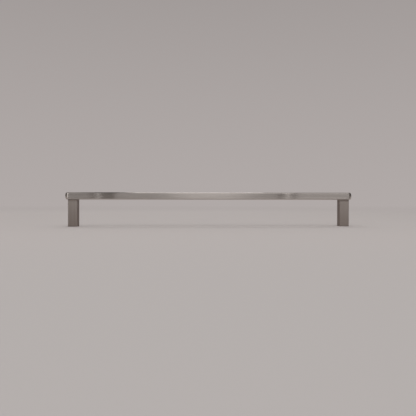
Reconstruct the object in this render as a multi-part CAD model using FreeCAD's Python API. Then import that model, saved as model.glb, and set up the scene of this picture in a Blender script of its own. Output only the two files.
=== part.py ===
import FreeCAD, Part

import math
import os

# A long appliance pull: a rectangular grip tube with crowned end plugs, held off the door by two
# square posts. X runs along the grip, Y across it, and Z stands out from the door.
# The origin lies midway between the two feet, on the plane of the door. All sizes are in millimetres.

# Spacing and reach
HOLE_SPACING = 457.2       # between the two mounting threads, 18 in
POST_HEIGHT = 45.0         # finger room between the door and the grip

# Grip tube
TUBE_HEIGHT = 12.2         # along Z
TUBE_DEPTH = 17.0          # along Y, across the grip
TUBE_WALL = 1.5
TUBE_CORNER = 1.5          # outside round of the tube's four long edges
TUBE_INNER_CORNER = 0.6

# Posts
POST_WIDTH = 16.0          # along the grip
POST_INSET = 0.5           # how far the post stands back from each side of the tube
POST_EDGE = 0.6            # round of the post's four upright edges
FOOT_CHAMFER = 0.4
SEAT_THICKNESS = 8.0       # solid metal left at the top of the post under the tube

# End plugs, a crowned head outside the tube and a solid spigot inside it
TUBE_SETBACK = 3.0         # from the post's outer face back to the tube's cut end
PLUG_HEAD = 8.5            # from the tube's end out to the crown
PLUG_CROWN = 1.6           # how far the crown falls away towards the top and bottom
PLUG_EDGE = 1.0            # round where the crown meets the top and bottom
PLUG_CORNER = 5.7          # round of the head's two upright corners
SPIGOT_LENGTH = 18.0       # long enough to take the screw and the dowel
SPIGOT_GAP = 0.1           # between the spigot and the tube's bore, sides and top
SPIGOT_CORNER = 1.0        # round of the spigot's four long edges
SPIGOT_LEAD = 0.6          # chamfer of the spigot's leading end

# Joint screws, M5 socket head
SCREW_RADIUS = 2.5
SCREW_LENGTH = 16.0        # under the head
HEAD_RADIUS = 4.25
HEAD_HEIGHT = 5.0
HEAD_CHAMFER = 0.5
SOCKET_FLATS = 4.0
SOCKET_DEPTH = 2.5
SCREW_CLEARANCE = 0.25     # radial, where the screw passes freely
HEAD_CLEARANCE = 0.35      # radial, between the head and the bore of the post
THREAD_GAP = 0.03          # radial, between a thread's outer cylinder and its tapped hole
SCREW_TIP = 0.5
TAPPED_SPARE = 0.8         # tapped depth beyond the screw's tip

# Dowel pins
PIN_RADIUS = 1.5
PIN_LENGTH = 10.0
PIN_IN_POST = 5.5
PIN_OFFSET = 5.4           # from the screw's axis, towards the middle of the grip
PIN_GAP = 0.02             # radial
PIN_END = 0.3

# Mounting bushes, tapped 1/4-20
BUSH_RADIUS = 5.5
BUSH_LENGTH = 14.0
BUSH_RECESS = 0.3          # how far the bush sits inside the foot
BUSH_BORE_RADIUS = 2.55    # tapping drill for the thread
BUSH_MOUTH = 0.7           # chamfer at the thread's two mouths
KNURL_COUNT = 20
KNURL_DEPTH = 0.45
KNURL_BAND = 4.0           # length of each of the two knurled bands
KNURL_MARGIN = 1.5         # plain length at each end of the bush
BUSH_SEAT_GAP = 0.02       # radial, between the knurl's crests and the post's counterbore

SIDES = {"left": -1, "right": 1}
TINY = 1e-6                # slack when edges are picked by their place

# Places that follow from the sizes above
post_axis = HOLE_SPACING / 2
tube_half = post_axis + POST_WIDTH / 2 - TUBE_SETBACK
post_depth = TUBE_DEPTH - 2 * POST_INSET
bore_height = TUBE_HEIGHT - 2 * TUBE_WALL
bore_depth = TUBE_DEPTH - 2 * TUBE_WALL
bore_floor = POST_HEIGHT + TUBE_WALL
seat_level = POST_HEIGHT - SEAT_THICKNESS
pin_bottom = POST_HEIGHT - PIN_IN_POST
head_bore_radius = HEAD_RADIUS + HEAD_CLEARANCE
screw_hole_radius = SCREW_RADIUS + SCREW_CLEARANCE
UP = FreeCAD.Vector(0, 0, 1)


def centred_box(length, depth, height, x=0.0, z=0.0):
    """A box centred on x and on Y, standing on z."""
    corner = FreeCAD.Vector(x - length / 2, -depth / 2, z)
    return Part.makeBox(length, depth, height, corner)


def cylinder(radius, bottom, top, x=0.0):
    """An upright cylinder from bottom to top, on the line Y = 0."""
    return Part.makeCylinder(radius, top - bottom, FreeCAD.Vector(x, 0, bottom), UP)


def cone(radius_bottom, radius_top, bottom, top, x=0.0):
    """An upright cone frustum from bottom to top, on the line Y = 0."""
    foot = FreeCAD.Vector(x, 0, bottom)
    return Part.makeCone(radius_bottom, radius_top, top - bottom, foot, UP)


def edges_along(shape, direction):
    """The straight edges of a shape that run along a direction."""
    found = []
    for edge in shape.Edges:
        if not isinstance(edge.Curve, (Part.Line, Part.LineSegment)):
            continue
        run = edge.Vertexes[-1].Point.sub(edge.Vertexes[0].Point)
        if run.cross(direction).Length < TINY * run.Length:
            found.append(edge)
    return found


def rounded_bar(length, depth, height, corner, z):
    """A bar along X, centred on Y and standing on z, with its four long edges rounded."""
    bar = centred_box(length, depth, height, z=z)
    return bar.makeFillet(corner, edges_along(bar, FreeCAD.Vector(1, 0, 0)))


def make_grip_tube():
    """Drawn rectangular tube, drilled from below for the screws and the dowels."""
    outside = rounded_bar(2 * tube_half, TUBE_DEPTH, TUBE_HEIGHT, TUBE_CORNER, POST_HEIGHT)
    inside = rounded_bar(2 * tube_half + 2, bore_depth, bore_height, TUBE_INNER_CORNER, bore_floor)
    tube = outside.cut(inside)
    holes = []
    for side in SIDES.values():
        x = side * post_axis
        holes.append(cylinder(screw_hole_radius, POST_HEIGHT - 1, bore_floor + 1, x))
        holes.append(cylinder(PIN_RADIUS + PIN_GAP, POST_HEIGHT - 1, bore_floor + 1, x - side * PIN_OFFSET))
    return tube.cut(holes)


def crown_profile(length, height, fall):
    """A face in XZ: a rectangle whose outer end bulges to X = length in one arc."""
    low = FreeCAD.Vector(0, 0, 0)
    start = FreeCAD.Vector(length - fall, 0, 0)
    crest = FreeCAD.Vector(length, 0, height / 2)
    end = FreeCAD.Vector(length - fall, 0, height)
    high = FreeCAD.Vector(0, 0, height)
    sides = [
        Part.LineSegment(low, start).toShape(),
        Part.Arc(start, crest, end).toShape(),
        Part.LineSegment(end, high).toShape(),
        Part.LineSegment(high, low).toShape(),
    ]
    return Part.Face(Part.Wire(sides))


def plug_head():
    """The plug's outer end, from X = 0 outwards.

    It is what three forms share: the tube's own rounded section, a plan with round upright corners,
    and a side view whose outer end is one shallow arc with rounded rims.
    """
    section = rounded_bar(2 * PLUG_HEAD, TUBE_DEPTH, TUBE_HEIGHT, TUBE_CORNER, 0)
    plan = Part.makeBox(PLUG_HEAD, TUBE_DEPTH, TUBE_HEIGHT, FreeCAD.Vector(0, -TUBE_DEPTH / 2, 0))
    outer = [edge for edge in edges_along(plan, UP) if edge.BoundBox.XMin > TINY]
    plan = plan.makeFillet(PLUG_CORNER, outer)
    profile = crown_profile(PLUG_HEAD, TUBE_HEIGHT, PLUG_CROWN)
    profile.translate(FreeCAD.Vector(0, -TUBE_DEPTH / 2, 0))
    side_view = profile.extrude(FreeCAD.Vector(0, TUBE_DEPTH, 0))
    across = edges_along(side_view, FreeCAD.Vector(0, 1, 0))
    rims = [edge for edge in across if edge.BoundBox.XMin > TINY]
    side_view = side_view.makeFillet(PLUG_EDGE, rims)
    return section.common(plan).common(side_view)


def make_end_plug(side):
    """A crowned plug whose spigot lies on the tube's inner floor, tapped for the joint screw."""
    depth = bore_depth - 2 * SPIGOT_GAP
    spigot = Part.makeBox(
        SPIGOT_LENGTH, depth, bore_height - SPIGOT_GAP,
        FreeCAD.Vector(-SPIGOT_LENGTH, -depth / 2, TUBE_WALL),
    )
    spigot = spigot.makeFillet(SPIGOT_CORNER, edges_along(spigot, FreeCAD.Vector(1, 0, 0)))
    lead = [edge for edge in spigot.Edges if edge.BoundBox.XMax < TINY - SPIGOT_LENGTH]
    spigot = spigot.makeChamfer(SPIGOT_LEAD, lead)
    plug = plug_head().fuse(spigot)
    plug.translate(FreeCAD.Vector(tube_half, 0, POST_HEIGHT))
    screw_top = seat_level + SCREW_LENGTH + TAPPED_SPARE
    pin_top = pin_bottom + PIN_LENGTH + PIN_END
    plug = plug.cut([
        cylinder(SCREW_RADIUS + THREAD_GAP, POST_HEIGHT, screw_top, post_axis),
        cylinder(PIN_RADIUS + PIN_GAP, POST_HEIGHT, pin_top, post_axis - PIN_OFFSET),
    ])
    if side < 0:
        plug.rotate(FreeCAD.Vector(0, 0, 0), UP, 180)
    return plug


def make_post(side):
    """A square post, bored from the foot for the screw's head and counterbored for the bush."""
    x = side * post_axis
    post = centred_box(POST_WIDTH, post_depth, POST_HEIGHT, x)
    post = post.makeFillet(POST_EDGE, edges_along(post, UP))
    foot = [edge for edge in post.Edges if edge.BoundBox.ZMax < TINY]
    post = post.makeChamfer(FOOT_CHAMFER, foot)
    bush_top = BUSH_RECESS + BUSH_LENGTH
    tools = [
        cylinder(BUSH_RADIUS + BUSH_SEAT_GAP, -1, bush_top, x),
        cylinder(head_bore_radius, 0, seat_level, x),
        cylinder(screw_hole_radius, 0, POST_HEIGHT + 1, x),
        cylinder(PIN_RADIUS + PIN_GAP, pin_bottom - PIN_END, POST_HEIGHT + 1, x - side * PIN_OFFSET),
    ]
    return post.cut(tools)


def make_joint_screw(side):
    """Socket head cap screw, head down in the post, tip up in the plug's spigot."""
    x = side * post_axis
    head_bottom = seat_level - HEAD_HEIGHT
    tip = seat_level + SCREW_LENGTH
    head = cylinder(HEAD_RADIUS, head_bottom, seat_level, x)
    rim = [edge for edge in head.Edges if edge.BoundBox.ZMax < head_bottom + TINY]
    head = head.makeChamfer(HEAD_CHAMFER, rim)
    shank = cylinder(SCREW_RADIUS, seat_level - 1, tip - SCREW_TIP, x)
    point = cone(SCREW_RADIUS, SCREW_RADIUS - SCREW_TIP, tip - SCREW_TIP, tip, x)
    screw = head.fuse([shank, point]).removeSplitter()
    corner_radius = SOCKET_FLATS / 2 / math.cos(math.pi / 6)
    corners = []
    for step in range(7):
        angle = step * math.pi / 3
        corners.append(FreeCAD.Vector(
            x + corner_radius * math.cos(angle), corner_radius * math.sin(angle), head_bottom - 1,
        ))
    socket = Part.Face(Part.makePolygon(corners)).extrude(UP * (SOCKET_DEPTH + 1))
    return screw.cut(socket)


def make_dowel_pin(side):
    """Plain dowel with chamfered ends, through the tube's wall into post and spigot."""
    x = side * (post_axis - PIN_OFFSET)
    pin = cylinder(PIN_RADIUS, pin_bottom, pin_bottom + PIN_LENGTH, x)
    ends = [edge for edge in pin.Edges if edge.BoundBox.ZLength < TINY]
    return pin.makeChamfer(PIN_END, ends)


def make_mounting_bush(side):
    """Tapped bush with two bands of straight knurl, pressed in the foot."""
    x = side * post_axis
    top = BUSH_RECESS + BUSH_LENGTH
    body = cylinder(BUSH_RADIUS, BUSH_RECESS, top, x)
    groove_size = KNURL_DEPTH * math.sqrt(2)
    grooves = []
    for band in (BUSH_RECESS + KNURL_MARGIN, top - KNURL_MARGIN - KNURL_BAND):
        for step in range(KNURL_COUNT):
            groove = Part.makeBox(
                groove_size, groove_size, KNURL_BAND,
                FreeCAD.Vector(-groove_size / 2, -groove_size / 2, band),
            )
            groove.rotate(FreeCAD.Vector(0, 0, 0), UP, 45)
            groove.translate(FreeCAD.Vector(BUSH_RADIUS, 0, 0))
            groove.rotate(FreeCAD.Vector(0, 0, 0), UP, step * 360 / KNURL_COUNT)
            groove.translate(FreeCAD.Vector(x, 0, 0))
            grooves.append(groove)
    bore = cylinder(BUSH_BORE_RADIUS, 0, top + 1, x)
    mouth_radius = BUSH_BORE_RADIUS + BUSH_MOUTH
    low_mouth = cone(mouth_radius, BUSH_BORE_RADIUS, BUSH_RECESS, BUSH_RECESS + BUSH_MOUTH, x)
    high_mouth = cone(BUSH_BORE_RADIUS, mouth_radius, top - BUSH_MOUTH, top, x)
    return body.cut(grooves + [bore, low_mouth, high_mouth])


def main():
    pieces = {"grip_tube": make_grip_tube()}
    makers = {
        "end_plug": make_end_plug,
        "post": make_post,
        "joint_screw": make_joint_screw,
        "dowel_pin": make_dowel_pin,
        "mounting_bush": make_mounting_bush,
    }
    for name, maker in makers.items():
        for word, side in SIDES.items():
            pieces[f"{name}_{word}"] = maker(side)
    os.makedirs("parts", exist_ok=True)
    for node, shape in pieces.items():
        print(node, shape.ShapeType, len(shape.Solids), shape.isValid(), round(shape.Volume, 2))
        shape.exportStep(f"parts/{node}.step")


main()
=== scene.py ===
# %% [markdown]
# # A long appliance pull in brushed nickel
#
# The real pull is a drawn rectangular tube, closed at both ends by crowned plugs and carried by
# two square posts. The CAD model already holds every piece at its true size, so this lesson is
# about what CAD leaves out: the brushed metal, the soft edges that catch a line of light, and the
# studio that the metal mirrors. Everything is in metres, and X runs along the pull.

import bmesh
import bpy
import math
from mathutils import Euler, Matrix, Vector


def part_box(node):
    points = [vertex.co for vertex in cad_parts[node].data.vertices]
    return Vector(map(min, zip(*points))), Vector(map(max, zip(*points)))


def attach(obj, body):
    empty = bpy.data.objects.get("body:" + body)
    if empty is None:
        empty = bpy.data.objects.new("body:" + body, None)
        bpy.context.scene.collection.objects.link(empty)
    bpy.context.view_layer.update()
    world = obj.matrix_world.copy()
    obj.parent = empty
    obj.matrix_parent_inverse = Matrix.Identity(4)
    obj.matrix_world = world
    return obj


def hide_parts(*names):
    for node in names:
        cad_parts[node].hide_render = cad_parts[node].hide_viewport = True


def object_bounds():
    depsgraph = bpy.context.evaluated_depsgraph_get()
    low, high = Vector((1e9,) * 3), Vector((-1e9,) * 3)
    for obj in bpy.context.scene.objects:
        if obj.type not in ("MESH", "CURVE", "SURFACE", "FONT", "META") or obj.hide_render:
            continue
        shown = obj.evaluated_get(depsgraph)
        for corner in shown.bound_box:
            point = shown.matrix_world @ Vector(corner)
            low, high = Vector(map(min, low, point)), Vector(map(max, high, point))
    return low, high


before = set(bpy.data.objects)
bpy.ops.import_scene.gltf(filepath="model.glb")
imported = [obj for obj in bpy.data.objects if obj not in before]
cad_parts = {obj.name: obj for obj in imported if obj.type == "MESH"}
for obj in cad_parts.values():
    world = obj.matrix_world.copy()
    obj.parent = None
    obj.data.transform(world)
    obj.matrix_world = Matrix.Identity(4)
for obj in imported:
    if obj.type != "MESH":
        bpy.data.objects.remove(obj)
cad_low, cad_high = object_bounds()
mm = 0.001
cad_size = [round((high - low) / mm, 1) for low, high in zip(cad_low, cad_high)]
print("CAD nodes:", ", ".join(sorted(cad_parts)))
print("CAD size in mm:", cad_size)

# %% [markdown]
# ## The camera
#
# A product photograph of a long pull is taken from far enough away that its ends don't flare. The
# place and the aim of the camera below were worked out from the corners of the posts and the ends
# of the grip. The lens is a plain 50 mm on a 36 mm sensor, and the picture is square, so no shift
# is needed.

# %% Camera
CAMERA_PLACE = Vector((-49.15, -978.7, 41.6)) * mm
PITCHED_DOWN = 0.0109
TURNED_RIGHT = 0.0471
ROLLED = -0.0009

camera_data = bpy.data.cameras.new("studio_camera")
camera_data.lens = 50.0
camera_data.sensor_width = 36.0
camera_data.clip_start = 0.01
camera_data.clip_end = 50.0
camera = bpy.data.objects.new("studio_camera", camera_data)
camera.location = CAMERA_PLACE
camera.rotation_euler = Euler((math.pi / 2 - PITCHED_DOWN, ROLLED, -TURNED_RIGHT), "XYZ")
bpy.context.scene.collection.objects.link(camera)
bpy.context.scene.camera = camera
print("camera stands", round(camera.location.length, 3), "m from the pull")

# %% [markdown]
# ## Shader maths as Python
#
# Node trees are easier to read when the sums in them look like sums. `Field` wraps an output
# socket and turns `+`, `-`, `*` and a division of a plain number by it into Math nodes. `Finish`
# is one material: its `node` method adds any other node, sets its options first and then fills or
# links its sockets. The other methods are the few patterns that come back in every finish.

# %% Helpers for materials
class Field:
    """A number, colour or vector that varies over a surface."""

    def __init__(self, finish, socket):
        self.finish = finish
        self.socket = socket

    def sum_node(self, operation, first, second):
        return self.finish.node("ShaderNodeMath", {"operation": operation}, {0: first, 1: second})

    def __add__(self, other):
        return self.sum_node("ADD", self, other)

    def __radd__(self, other):
        return self.sum_node("ADD", other, self)

    def __sub__(self, other):
        return self.sum_node("SUBTRACT", self, other)

    def __mul__(self, other):
        return self.sum_node("MULTIPLY", self, other)

    def __rtruediv__(self, other):
        return self.sum_node("DIVIDE", other, self)


class Finish:
    """One material and the nodes in it."""

    def __init__(self, name):
        self.material = bpy.data.materials.new(name)
        self.material.use_nodes = True
        self.tree = self.material.node_tree
        self.tree.nodes.clear()

    def node(self, kind, settings=None, sockets=None, output=0):
        """Adds a node and returns one of its outputs."""
        made = self.tree.nodes.new(kind)
        for name, value in (settings or {}).items():
            setattr(made, name, value)
        for key, value in (sockets or {}).items():
            if isinstance(value, Field):
                self.tree.links.new(value.socket, made.inputs[key])
            else:
                made.inputs[key].default_value = value
        return Field(self, made.outputs[output]) if made.outputs else None

    def place(self):
        """The point on the object, in metres."""
        return self.node("ShaderNodeTexCoord", output="Object")

    def axis(self, vector, name):
        """One part of a vector: X, Y or Z."""
        return self.node("ShaderNodeSeparateXYZ", sockets={"Vector": vector}, output=name)

    def stretched_noise(self, scale, detail=2.0, roughness=0.5, offset=(0.0, 0.0, 0.0)):
        """Noise whose grain has its own size along each axis, given in cycles a metre."""
        squeezed = self.node(
            "ShaderNodeMapping",
            sockets={"Vector": self.place(), "Location": offset, "Scale": scale},
        )
        return self.node(
            "ShaderNodeTexNoise",
            {"noise_dimensions": "3D", "normalize": True},
            {"Vector": squeezed, "Scale": 1.0, "Detail": detail, "Roughness": roughness},
        )

    def eased(self, value, low, high, out_low=0.0, out_high=1.0):
        """Runs smoothly from one number to another while value goes from low to high."""
        return self.node(
            "ShaderNodeMapRange",
            {"interpolation_type": "SMOOTHSTEP"},
            {
                "Value": value,
                "From Min": low,
                "From Max": high,
                "To Min": out_low,
                "To Max": out_high,
            },
        )

    def blend(self, factor, first, second):
        """A colour between two others."""
        return self.node(
            "ShaderNodeMix",
            {"data_type": "RGBA"},
            {0: factor, 6: first, 7: second},
            output=2,
        )

    def finish(self, shader):
        """Ends the tree in the material's output."""
        self.node("ShaderNodeOutputMaterial", sockets={"Surface": shader})
        return self.material


print("helpers ready")

# %% [markdown]
# ## Brushed nickel
#
# A brushed finish is thousands of fine parallel scratches. Across the scratches a reflection is
# smeared wide, and along them it stays fairly sharp, which is why the long face of the grip shows
# upright lights with soft tops and crisp sides. The Principled shader does this with its
# Anisotropic value. On top of that come three faint patterns. A fine grain and a wider one are
# both stretched along the scratches. They shade the tone and the bump, and the wider one also
# changes the roughness. The third is soft and even, and changes the roughness a little more.

# %% How the scratches show
NOISE_MIDDLE = 0.5
WIDE_STEP = 0.22
WIDE_OFFSET = (3.1, 1.7, 5.3)
SOFT_GRAIN = (22.0, 22.0, 22.0)
SOFT_OFFSET = (0.4, 2.2, 1.9)
FINE_TONE = 0.9
WIDE_TONE = 1.1
WIDE_ROUGHNESS = 0.30
SOFT_ROUGHNESS = 0.1
FINE_RELIEF = 0.7
WIDE_RELIEF = 0.3
SCRATCH_DEPTH = 0.06 * mm


def brushed_metal(
    name, grain, dark, light, roughness, anisotropic, rotation, bump=0.25, shaded=None,
):
    """Metal with scratches; grain gives the cycles a metre of the scratches along X, Y and Z.

    shaded takes the finish and its colour, and returns the colour with its own changes; on the
    posts these are painted light and shade.
    """
    metal = Finish(name)
    fine = metal.stretched_noise(grain, detail=3.0, roughness=0.6)
    wide_grain = [step * WIDE_STEP for step in grain]
    wide = metal.stretched_noise(wide_grain, detail=2.0, offset=WIDE_OFFSET)
    soft = metal.stretched_noise(SOFT_GRAIN, detail=3.0, offset=SOFT_OFFSET)
    fine_swing = fine - NOISE_MIDDLE
    wide_swing = wide - NOISE_MIDDLE
    soft_swing = soft - NOISE_MIDDLE
    tone = NOISE_MIDDLE + fine_swing * FINE_TONE + wide_swing * WIDE_TONE
    uneven = wide_swing * WIDE_ROUGHNESS + soft_swing * SOFT_ROUGHNESS
    colour = metal.blend(tone, dark, light)
    if shaded:
        colour = shaded(metal, colour)
    relief = metal.node(
        "ShaderNodeBump",
        sockets={
            "Strength": bump,
            "Distance": SCRATCH_DEPTH,
            "Height": fine * FINE_RELIEF + wide * WIDE_RELIEF,
        },
    )
    shader = metal.node(
        "ShaderNodeBsdfPrincipled",
        sockets={
            "Base Color": colour,
            "Metallic": 1.0,
            "Roughness": roughness + uneven * roughness,
            "Anisotropic": anisotropic,
            "Anisotropic Rotation": rotation,
            "Normal": relief,
        },
    )
    return metal.finish(shader)


print("scratches are at most", round(SCRATCH_DEPTH / mm, 3), "mm deep")

# %% [markdown]
# The posts' colour has painted light and shade in it. The right post is painted a little paler than
# the left one, as painted light. Both are painted darker, as painted shade, on the sides that face
# each other and towards the foot, and in a thin band right under the grip, as a painted shadow of
# the grip.

# %% Tones of the posts, with painted light and shade
POST_DARK = (0.35, 0.308, 0.282, 1.0)
POST_LIGHT = (0.48, 0.427, 0.394, 1.0)
# The next tone is painted light for the right post, and the one after it is painted shade.
POST_PAINTED_LIGHT = (0.66, 0.588, 0.543, 1.0)
POST_PAINTED_SHADE = (0.24, 0.195, 0.172, 1.0)
# Where the painted light and the three painted shades fall, and how strong each one is.
BETWEEN_POSTS = (-100 * mm, 100 * mm)
PAINTED_LIGHT_SHARE = 0.42
FACING_INWARDS = (0.0, -0.2)
INWARDS_SHADE_SHARE = 0.85
DOWN_TO_FOOT = (46.0 * mm, 0.0)
FOOT_SHADE_SHARE = 0.4
GRIP_SHADOW_BAND = (40.5 * mm, 44.5 * mm)
GRIP_SHADOW_SHARE = 0.75


def post_painted_light_and_shade(metal, colour):
    """The colour of the posts, with painted light on the right one and painted shade in three
    places.
    """
    across = metal.axis(metal.place(), "X")
    upright = metal.axis(metal.place(), "Z")
    facing = metal.node("ShaderNodeTexCoord", output="Normal")
    turned = metal.axis(facing, "X")
    # Painted light: the right post is made paler, as if lit more.
    right_post_painted_light = metal.eased(across, *BETWEEN_POSTS, 0.0, PAINTED_LIGHT_SHARE)
    # Painted shade on the sides of the posts that face each other.
    inner_side_shade = metal.eased(turned * across, *FACING_INWARDS, 0.0, INWARDS_SHADE_SHARE)
    # Painted shade, darker towards the foot.
    foot_shade = metal.eased(upright, *DOWN_TO_FOOT, 0.0, FOOT_SHADE_SHARE)
    # Painted shadow of the grip, in a thin band right under it.
    grip_shadow = metal.eased(upright, *GRIP_SHADOW_BAND, 0.0, GRIP_SHADOW_SHARE)
    colour = metal.blend(right_post_painted_light, colour, POST_PAINTED_LIGHT)
    for share in (inner_side_shade, foot_shade, grip_shadow):
        colour = metal.blend(share, colour, POST_PAINTED_SHADE)
    return colour


print("post tones from", POST_PAINTED_SHADE[:3], "to", POST_PAINTED_LIGHT[:3])

# %% Nickel finishes
NICKEL_DARK = (0.50, 0.455, 0.424, 1.0)
NICKEL_LIGHT = (0.66, 0.612, 0.578, 1.0)
PLUG_DARK = (0.49, 0.446, 0.415, 1.0)
PLUG_LIGHT = (0.63, 0.583, 0.550, 1.0)

grip_nickel = brushed_metal(
    "grip_nickel", (9.0, 1500.0, 1500.0), NICKEL_DARK, NICKEL_LIGHT,
    roughness=0.11, anisotropic=1.0, rotation=0.25, bump=0.14,
)
# The posts get painted light and shade on top of their grain.
post_nickel = brushed_metal(
    "post_nickel", (1500.0, 1500.0, 11.0), POST_DARK, POST_LIGHT,
    roughness=0.38, anisotropic=0.9, rotation=0.0, shaded=post_painted_light_and_shade,
)
plug_nickel = brushed_metal(
    "plug_nickel", (30.0, 30.0, 1500.0), PLUG_DARK, PLUG_LIGHT,
    roughness=0.17, anisotropic=0.7, rotation=0.25,
)
print("nickel finishes:", grip_nickel.name, post_nickel.name, plug_nickel.name)

# %% [markdown]
# ## Steel inside the joint
#
# The joint screws, dowels and mounting bushes hardly show, but a part that is turned over or taken
# apart should still look right. The screws have a black oxide coat, the dowels are ground bright,
# and the bushes are plain turned steel with fine rings from the lathe.

# %% Steel finishes
OXIDE_DARK = (0.035, 0.034, 0.036, 1.0)
OXIDE_LIGHT = (0.075, 0.072, 0.072, 1.0)
STEEL_DARK = (0.40, 0.39, 0.38, 1.0)
STEEL_LIGHT = (0.60, 0.59, 0.57, 1.0)

screw_steel = brushed_metal(
    "screw_steel", (700.0, 700.0, 700.0), OXIDE_DARK, OXIDE_LIGHT,
    roughness=0.42, anisotropic=0.0, rotation=0.0, bump=0.2,
)
dowel_steel = brushed_metal(
    "dowel_steel", (60.0, 60.0, 2500.0), STEEL_DARK, STEEL_LIGHT,
    roughness=0.18, anisotropic=0.2, rotation=0.0, bump=0.1,
)
bush_steel = brushed_metal(
    "bush_steel", (90.0, 90.0, 3000.0), STEEL_DARK, STEEL_LIGHT,
    roughness=0.28, anisotropic=0.3, rotation=0.0, bump=0.2,
)
print("steel finishes:", screw_steel.name, dowel_steel.name, bush_steel.name)

# %% [markdown]
# ## Dressing the CAD nodes
#
# The posts, screws, dowels and bushes already have the right shape, so they keep their CAD meshes
# and only get a finish in their material slots. The tube and the plugs get theirs here too, though
# new pieces stand in for them below.

# %% Finishes on the CAD nodes
FINISH_OF = {
    "grip_tube": grip_nickel,
    "end_plug": plug_nickel,
    "post": post_nickel,
    "joint_screw": screw_steel,
    "dowel_pin": dowel_steel,
    "mounting_bush": bush_steel,
}
for node_name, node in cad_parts.items():
    kind = node_name.replace("_left", "").replace("_right", "")
    node.data.materials.clear()
    node.data.materials.append(FINISH_OF[kind])
print("dressed", len(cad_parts), "CAD nodes")

# %% [markdown]
# ## The grip tube
#
# The tube is drawn through a die, so its section is the same all along: flat sides, 1.5 mm round
# corners and a 1.5 mm wall. A box with its four long edges bevelled is that section. Taking off the
# ends and giving the skin a wall makes it a tube, and a hair-thin bevel on the cut rims leaves the
# fine bright line where tube and plug meet.

# %% Helpers for pieces
ALIGNED = 0.999
SHARP_CORNER = math.radians(60)
NO_LENGTH = 1e-6


def add_piece(name, bm, material, replaced, round_above=25.0):
    """Makes an object of a bmesh, at the origin, and puts it in place of CAD nodes."""
    bmesh.ops.recalc_face_normals(bm, faces=bm.faces)
    mesh = bpy.data.meshes.new(name)
    bm.to_mesh(mesh)
    bm.free()
    for face in mesh.polygons:
        face.use_smooth = True
    mesh.set_sharp_from_angle(angle=math.radians(round_above))
    mesh.materials.append(material)
    piece = bpy.data.objects.new(name, mesh)
    bpy.context.scene.collection.objects.link(piece)
    flat = piece.modifiers.new("even_shading", "WEIGHTED_NORMAL")
    flat.keep_sharp = True
    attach(piece, "root")
    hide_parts(*replaced)
    print(name, "has", len(mesh.polygons), "faces")
    return piece


def box_bmesh(low, high):
    """A bmesh box between two corners."""
    bm = bmesh.new()
    bmesh.ops.create_cube(bm, size=1.0)
    size = high - low
    bmesh.ops.scale(bm, vec=size, verts=bm.verts)
    bmesh.ops.translate(bm, vec=(low + high) / 2, verts=bm.verts)
    return bm


def edges_running(bm, axis):
    """The edges that run along one axis, 0 for X, 1 for Y and 2 for Z."""
    found = []
    for edge in bm.edges:
        run = edge.verts[1].co - edge.verts[0].co
        if abs(run[axis]) > ALIGNED * run.length:
            found.append(edge)
    return found


def is_sharp(edge):
    """Whether two faces meet at this edge in a clear corner."""
    return len(edge.link_faces) == 2 and edge.calc_face_angle(0.0) > SHARP_CORNER


def bevel_edges(bm, edges, size, steps):
    """Rounds edges with a round of the given radius."""
    bmesh.ops.bevel(
        bm, geom=edges, offset=size, offset_type="OFFSET", segments=steps, profile=0.5,
        affect="EDGES", material=-1, clamp_overlap=True,
    )


print("piece helpers ready")

# %% Grip tube
TUBE_CORNER = 1.5 * mm
TUBE_CORNER_STEPS = 8
TUBE_WALL = 1.5 * mm
RIM_EDGE = 0.12 * mm
RIM_STEPS = 2

tube_low, tube_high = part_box("grip_tube")
tube = box_bmesh(tube_low, tube_high)
bevel_edges(tube, edges_running(tube, 0), TUBE_CORNER, TUBE_CORNER_STEPS)
ends = [face for face in tube.faces if abs(face.normal.x) > ALIGNED]
bmesh.ops.delete(tube, geom=ends, context="FACES_ONLY")
bmesh.ops.solidify(tube, geom=tube.faces[:], thickness=TUBE_WALL)
rims = [
    edge for edge in tube.edges
    if is_sharp(edge) and abs(edge.verts[0].co.x - edge.verts[1].co.x) < NO_LENGTH
]
bevel_edges(tube, rims, RIM_EDGE, RIM_STEPS)
grip_piece = add_piece("grip_tube_skin", tube, grip_nickel, ["grip_tube"])

# %% [markdown]
# Anisotropic shading needs a direction on every face. Blender takes it from the mesh's texture
# space, as circles round the middle of that space, so on a long bar it would swirl over the top
# face. Moving the texture space far out to the side makes those circles so wide that they run
# straight along the grip on all four sides.

# %% Straight brushing on all four sides
FAR_TO_THE_SIDE = 50.0

grip_mesh = grip_piece.data
grip_mesh.use_auto_texspace = False
grip_mesh.texspace_location = (0.0, FAR_TO_THE_SIDE, 0.0)
grip_mesh.texspace_size = (1.0, 1.0, 1.0)
print("texture space centre:", tuple(grip_mesh.texspace_location))

# %% [markdown]
# ## The crowned end plugs
#
# Each end is closed by a turned and filed plug: seen from above its corners are well rounded, seen
# from the front its end is one shallow arc. A block is bevelled at its two upright corners, cut
# into many thin layers, and each layer is pulled in towards the tube by the arc's own height there.
# The edges round the top and the bottom get the tube's own corner, so that plug and tube are flush.

# %% End plugs
PLUG_CROWN = 1.6 * mm
PLUG_CORNER = 5.7 * mm
PLUG_CORNER_STEPS = 14
PLUG_RIM_STEPS = 6
CROWN_LAYERS = 14
CUT_SNAP = 1e-7


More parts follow.
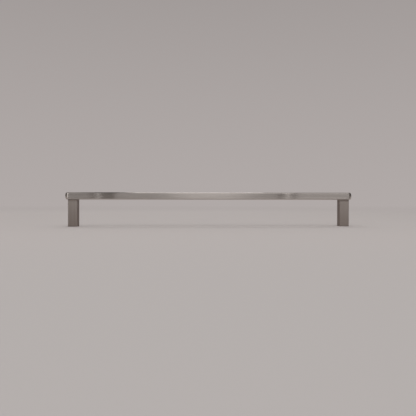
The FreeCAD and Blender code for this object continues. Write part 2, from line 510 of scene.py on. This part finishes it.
def make_plug(name, node, side):
    """One plug's head in place of its CAD node, on the left (-1) or the right (1)."""
    low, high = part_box(node)
    tube_end = tube_high.x
    tip = max(abs(low.x), abs(high.x))
    half_depth = (high.y - low.y) / 2
    bm = box_bmesh(
        Vector((tube_end, -half_depth, tube_low.z)), Vector((tip, half_depth, tube_high.z)),
    )
    outer = [edge for edge in edges_running(bm, 2) if edge.verts[0].co.x > tube_end + NO_LENGTH]
    bevel_edges(bm, outer, PLUG_CORNER, PLUG_CORNER_STEPS)
    rim = [
        edge for edge in bm.edges
        if is_sharp(edge)
        and abs(edge.verts[0].co.z - edge.verts[1].co.z) < NO_LENGTH
        and max(vert.co.x for vert in edge.verts) > tube_end + NO_LENGTH
    ]
    bevel_edges(bm, rim, TUBE_CORNER, PLUG_RIM_STEPS)
    middle = (tube_low.z + tube_high.z) / 2
    height = tube_high.z - tube_low.z
    for layer in range(1, CROWN_LAYERS):
        bmesh.ops.bisect_plane(
            bm, geom=bm.verts[:] + bm.edges[:] + bm.faces[:], dist=CUT_SNAP,
            plane_co=(0, 0, tube_low.z + layer * height / CROWN_LAYERS), plane_no=(0, 0, 1),
        )
    radius = ((height / 2)**2 + PLUG_CROWN**2) / (2 * PLUG_CROWN)
    reach = tip - tube_end
    for vert in bm.verts:
        fall = radius - math.sqrt(radius**2 - (vert.co.z - middle)**2)
        share = (vert.co.x - tube_end) / reach
        vert.co.x -= fall * share
    seam = [
        edge for edge in bm.edges
        if is_sharp(edge) and all(abs(vert.co.x - tube_end) < NO_LENGTH for vert in edge.verts)
    ]
    bevel_edges(bm, seam, RIM_EDGE, RIM_STEPS)
    if side < 0:
        bmesh.ops.scale(bm, vec=(-1, 1, 1), verts=bm.verts)
    add_piece(name, bm, plug_nickel, [node], round_above=40.0)


make_plug("end_plug_left_head", "end_plug_left", -1)
make_plug("end_plug_right_head", "end_plug_right", 1)

# %% [markdown]
# ## The studio round the pull
#
# The photograph has no horizon: the pull stands on a pale mauve-grey paper that runs up behind it
# and grows slightly darker towards the top. Behind the camera and at the sides the room is
# dimmer, which is why the turned-away ends of the grip look dark. It is paler again higher up,
# where the grip's top mirrors it, except for one dark gap high in front, a little to the left.
# One function gives the tone of the room for a direction, and both the world and the far part of
# the floor use it, so the two run into each other without an edge in every view. Each pair of
# numbers says where one tone gives way to the next, as a part of the direction along an axis.

# %% Room tones
ROOM_BACK = (0.440, 0.402, 0.392, 1.0)
ROOM_FRONT = (0.105, 0.098, 0.094, 1.0)
ROOM_HIGH = (0.240, 0.230, 0.224, 1.0)
ROOM_LEFT = (0.170, 0.158, 0.153, 1.0)
ROOM_RIGHT = (0.088, 0.082, 0.079, 1.0)
ROOM_GAP = (0.030, 0.028, 0.027, 1.0)
LEFT_TO_RIGHT = (-0.35, 0.35)
SIDES_TO_FRONT = (-0.3, -0.9)
LOW_TO_HIGH = (0.14, 0.5)
REST_TO_BACK = (0.76, 0.87)
GAP_LEFT_SIDE = (-0.150, -0.134)
GAP_RIGHT_SIDE = (-0.085, -0.112)
GAP_IN_FRONT = (-0.04, -0.16)
BACK_DIMS = (-0.1, 1.2)
BACK_TOP_SHARE = 0.30


def room_tone(finish, direction):
    """The colour of the room seen in a direction."""
    across = finish.axis(direction, "X")
    along = finish.axis(direction, "Y")
    up = finish.axis(direction, "Z")
    side = finish.blend(finish.eased(across, *LEFT_TO_RIGHT), ROOM_LEFT, ROOM_RIGHT)
    low_room = finish.blend(finish.eased(along, *SIDES_TO_FRONT), side, ROOM_FRONT)
    gap = finish.eased(across, *GAP_LEFT_SIDE) * finish.eased(across, *GAP_RIGHT_SIDE)
    gap = gap * finish.eased(along, *GAP_IN_FRONT)
    high_room = finish.blend(gap, ROOM_HIGH, ROOM_GAP)
    not_back = finish.blend(finish.eased(up, *LOW_TO_HIGH), low_room, high_room)
    dimmed = finish.eased(up, *BACK_DIMS, 1.0, BACK_TOP_SHARE)
    grey = finish.node("ShaderNodeCombineColor", sockets={0: dimmed, 1: dimmed, 2: dimmed})
    back = finish.node(
        "ShaderNodeMix",
        {"data_type": "RGBA", "blend_type": "MULTIPLY"},
        {0: 1.0, 6: ROOM_BACK, 7: grey},
        output=2,
    )
    return finish.blend(finish.eased(along, *REST_TO_BACK), not_back, back)


print("room tones from", ROOM_RIGHT[:3], "to", ROOM_BACK[:3])

# %% [markdown]
# ## Floor
#
# A wide disc is enough. Near the pull it is plain matt paper, which takes the shadow, with a little
# painted shade that makes it darker towards the camera. Further out it gives off the room's own
# tone instead, so it needs no lamps to stay even. That tone goes by the direction from the point
# under the camera, which keeps the floor's edges in the picture as pale as its middle.

# %% Floor
PAPER_COLOUR = (0.522, 0.482, 0.469, 1.0)
# The next tone is painted shade for the paper in front, and the range after it is where that shade
# runs.
PAPER_FRONT_SHADE = (0.480, 0.450, 0.440, 1.0)
PAPER_SHADE_RUNS = (-0.2, -0.9)
PAPER_ENDS = 1.1
ROOM_STARTS = 8.0
FLOOR_RADIUS = 9.0
FLOOR_SIDES = 96
CAMERA_FOOT = (camera.location.x, camera.location.y, 0.0)

floor_bm = bmesh.new()
bmesh.ops.create_circle(floor_bm, cap_ends=True, radius=FLOOR_RADIUS, segments=FLOOR_SIDES)
floor_mesh = bpy.data.meshes.new("studio_floor")
floor_bm.to_mesh(floor_mesh)
floor_bm.free()
studio_floor = bpy.data.objects.new("studio_floor", floor_mesh)
bpy.context.scene.collection.objects.link(studio_floor)

paper = Finish("studio_paper")
from_camera = paper.node(
    "ShaderNodeVectorMath", {"operation": "SUBTRACT"}, {0: paper.place(), 1: CAMERA_FOOT},
)
outwards = paper.node("ShaderNodeVectorMath", {"operation": "NORMALIZE"}, {0: from_camera})
away = paper.node(
    "ShaderNodeVectorMath", {"operation": "LENGTH"}, {0: paper.place()}, output="Value",
)
# Painted shade: the paper is made darker towards the camera.
front_shade = paper.eased(paper.axis(paper.place(), "Y"), *PAPER_SHADE_RUNS)
matt = paper.node(
    "ShaderNodeBsdfPrincipled",
    sockets={
        "Base Color": paper.blend(front_shade, PAPER_COLOUR, PAPER_FRONT_SHADE),
        "Roughness": 0.95,
        "Specular IOR Level": 0.1,
    },
)
far_floor = paper.node(
    "ShaderNodeEmission", sockets={"Color": room_tone(paper, outwards), "Strength": 1.0},
)
far_share = paper.eased(1.0 / away, 1 / PAPER_ENDS, 1 / ROOM_STARTS)
floor_shader = paper.node("ShaderNodeMixShader", sockets={0: far_share, 1: matt, 2: far_floor})
floor_mesh.materials.append(paper.finish(floor_shader))
print("floor radius", FLOOR_RADIUS, "m")

# %% [markdown]
# ## World
#
# The camera and the mirrored and clear rays see the room's tones. All other rays find one soft
# even light instead, so that the dark places in the room don't darken the paper.

# %% World
SOFT_LIGHT = (1.0, 0.985, 0.975, 1.0)
SOFT_STRENGTH = 0.665

world = bpy.data.worlds.new("studio_room")
world.use_nodes = True


class RoomAir(Finish):
    """The world's own node tree, built with the same helpers as a material."""

    def __init__(self, owner):
        self.tree = owner.node_tree
        self.tree.nodes.clear()


air = RoomAir(world)
look = air.node("ShaderNodeTexCoord", output="Generated")
room = air.node(
    "ShaderNodeBackground", sockets={"Color": room_tone(air, look), "Strength": 1.0},
)
soft_light = air.node(
    "ShaderNodeBackground", sockets={"Color": SOFT_LIGHT, "Strength": SOFT_STRENGTH},
)
ray = air.tree.nodes.new("ShaderNodeLightPath")
seen = (
    Field(air, ray.outputs["Is Camera Ray"]) + Field(air, ray.outputs["Is Glossy Ray"])
    + Field(air, ray.outputs["Is Transmission Ray"])
)
both = air.node("ShaderNodeMixShader", sockets={0: seen, 1: soft_light, 2: room})
air.node("ShaderNodeOutputWorld", sockets={"Surface": both})
bpy.context.scene.world = world
bpy.context.scene.view_settings.view_transform = "Standard"
print("world:", len(world.node_tree.nodes), "nodes")

# %% [markdown]
# ## The lights
#
# Flat metal has no look of its own: it shows what stands in front of it. Three wide panels stand
# side by side in front of the pull, behind the camera, with gaps between them. The grip's face
# shows them as a broad light in the middle, a dark gap on each side of it, and a paler stretch
# towards each end. An oval panel makes the middle brighter still, and a strong one far out to the
# left lights the turned-away left end. A very narrow panel in each gap gives the thin upright
# light there, and a faint one behind the right one fills that gap a little. Panels that overlap
# stand at different distances, because two lamps in one plane hide each other in a reflection.
#
# Three lamps above and in front light the paper and the line along the grip's top edge. One
# behind the pull lights the paper from the other side, and a small one at the rear left gives the
# top face some light for other views.

# %% Lamps
FRONT = -2.0
PULL = (0.0, 0.0, 0.04)


def add_lamp(name, place, aim, width, tall, power, shape="RECTANGLE"):
    """A soft lamp at a place, turned towards a point."""
    data = bpy.data.lights.new(name, "AREA")
    data.shape = shape
    data.size = width
    data.size_y = tall
    data.energy = power
    lamp = bpy.data.objects.new(name, data)
    lamp.location = place
    turn = (Vector(aim) - Vector(place)).to_track_quat("-Z", "Y")
    lamp.rotation_euler = turn.to_euler()
    lamp.visible_camera = False
    bpy.context.scene.collection.objects.link(lamp)
    print(name, "at", [round(v, 2) for v in place], power, "W")


def add_panel(name, from_x, to_x, low, high, power, shape="RECTANGLE", nearer=0.0):
    """An upright panel in front of the pull, behind the camera."""
    place = ((from_x + to_x) / 2, FRONT + nearer, (low + high) / 2)
    add_lamp(name, place, (place[0], 0.0, place[2]), to_x - from_x, high - low, power, shape)


add_panel("middle_panel", -0.385, 0.447, 0.02, 1.3, 1.035)
add_panel("middle_glow", -0.20, 0.385, 0.02, 1.0, 0.455, "ELLIPSE", nearer=0.06)
add_panel("left_panel", -1.50, -0.507, 0.02, 1.7, 1.11)
add_panel("left_side", -1.60, -0.80, 0.10, 1.1, 4.3, nearer=0.06)
add_panel("right_panel", 0.548, 1.25, 0.02, 1.3, 1.10)
add_panel("left_slit", -0.471, -0.459, 0.02, 1.2, 0.044, nearer=0.03)
add_panel("right_slit", 0.492, 0.508, 0.02, 1.2, 0.050, nearer=0.03)
add_panel("right_fill", 0.452, 0.546, 0.02, 1.2, 0.038, nearer=-0.03)
add_lamp("key", (0.15, -1.55, 1.85), (0.15, 0.0, 0.04), 0.94, 1.4, 6.0)
add_lamp("right_top", (0.94, -1.55, 1.85), (0.94, 0.0, 0.04), 0.6, 1.4, 2.1)
add_lamp("left_top", (-1.0, -1.35, 1.85), (-1.0, 0.0, 0.04), 0.8, 1.4, 1.3)
add_lamp("back_light", (0.03, 1.9, 2.0), PULL, 0.9, 0.8, 7.0)
add_lamp("rear_left", (-1.7, 1.5, 1.1), PULL, 0.9, 0.7, 1.2)
